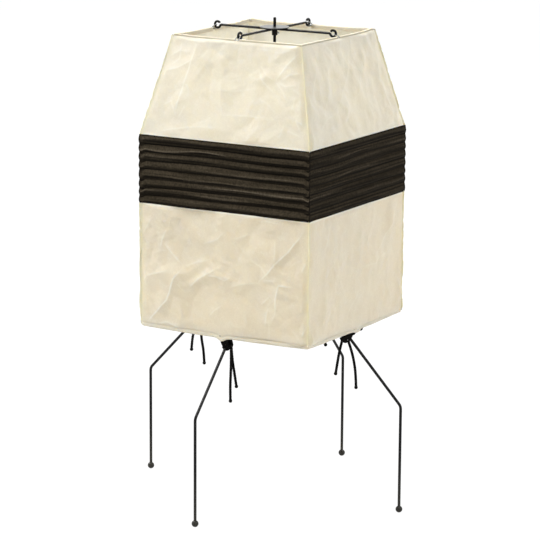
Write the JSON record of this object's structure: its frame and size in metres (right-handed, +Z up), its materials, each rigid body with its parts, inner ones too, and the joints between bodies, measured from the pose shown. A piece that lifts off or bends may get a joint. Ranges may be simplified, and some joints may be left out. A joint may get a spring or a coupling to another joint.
{
  "type": "paper table lamp",
  "caption": "Square paper lantern shade with a dark pleated band, on bent wire legs with ball feet, tied on with black cord and tensioned by a sliding spider.",
  "frame": {"origin": "on the floor under the middle of the shade", "axes": "+Z up, -Y towards the front face, feet on the X and Y axes"},
  "size_m": [0.4134, 0.4134, 0.6655],
  "materials": {
    "black_wire": "gloss black paint",
    "ring_wire": "galvanised",
    "disc_steel": "satin",
    "cream_paper": "matte, crumpled",
    "dark_paper": "matte, pleated",
    "black_cord": "braided",
    "plain_steel": "zinc plated",
    "brass": "satin",
    "black_plastic": "moulded",
    "white_ceramic": "glazed",
    "opal_glass": "opal",
    "cap_metal": "rolled thread",
    "insulator_glass": "gloss"
  },
  "bodies": {
    "root": {"leg_right": "black_wire", "foot_ball_right": "black_wire", "lower_panel_right": "cream_paper", "upper_panel_right": "cream_paper", "band_panel_right": "dark_paper", "tie_lashing_right": "black_cord", "leg_back": "black_wire", "foot_ball_back": "black_wire", "lower_panel_back": "cream_paper", "upper_panel_back": "cream_paper", "band_panel_back": "dark_paper", "tie_lashing_back": "black_cord", "leg_left": "black_wire", "foot_ball_left": "black_wire", "lower_panel_left": "cream_paper", "upper_panel_left": "cream_paper", "band_panel_left": "dark_paper", "tie_lashing_left": "black_cord", "leg_front": "black_wire", "foot_ball_front": "black_wire", "lower_panel_front": "cream_paper", "upper_panel_front": "cream_paper", "band_panel_front": "dark_paper", "tie_lashing_front": "black_cord", "tie_tail_right_short": "black_cord", "tie_tail_right_long": "black_cord", "tie_tail_back_short": "black_cord", "tie_tail_back_long": "black_cord", "tie_tail_left_short": "black_cord", "tie_tail_left_long": "black_cord", "tie_tail_front_short": "black_cord", "tie_tail_front_long": "black_cord", "hub": "black_wire", "stretcher_rod": "black_wire", "bottom_ring": "ring_wire", "holder_bracket": "plain_steel", "rod_nut": "plain_steel", "nipple_nut": "plain_steel", "holder_nipple": "plain_steel", "holder_cap": "black_plastic", "holder_shell": "black_plastic", "holder_insert": "white_ceramic", "screw_shell": "brass", "terminal_screws": "brass"},
    "stretcher": {"spider_disc": "disc_steel", "spider_collar": "black_wire", "collar_grub_screw": "plain_steel", "top_ring": "ring_wire", "rim_clips": "ring_wire", "spider_arm_right": "black_wire", "spider_arm_back": "black_wire", "spider_arm_left": "black_wire", "spider_arm_front": "black_wire"},
    "contact": {"centre_contact": "brass"},
    "bulb": {"bulb_glass": "opal_glass", "bulb_cap": "cap_metal", "bulb_insulator": "insulator_glass", "bulb_tip": "cap_metal"}
  },
  "joints": [
    {"name": "stretcher_slide", "type": "slide", "parent": "root", "child": "stretcher", "axis": [0, 0, 1], "range_m": [-0.26, 0], "deforming": ["lower_panel_right", "band_panel_right", "upper_panel_right", "lower_panel_back", "band_panel_back", "upper_panel_back", "lower_panel_left", "band_panel_left", "upper_panel_left", "lower_panel_front", "band_panel_front", "upper_panel_front"]},
    {"name": "bulb_rise", "type": "slide", "parent": "root", "child": "contact", "axis": [0, 0, 1], "range_m": [0, 0.00202]},
    {"name": "bulb_turn", "type": "hinge", "parent": "contact", "child": "bulb", "pos_m": [-0.036, 0.036, 0.42], "axis": [0, 0, 1], "range_deg": [0, 200]}
  ],
  "couplings": [
    {"joint": "bulb_turn", "follows": "bulb_rise", "rad_per_m": 1731.4}
  ]
}
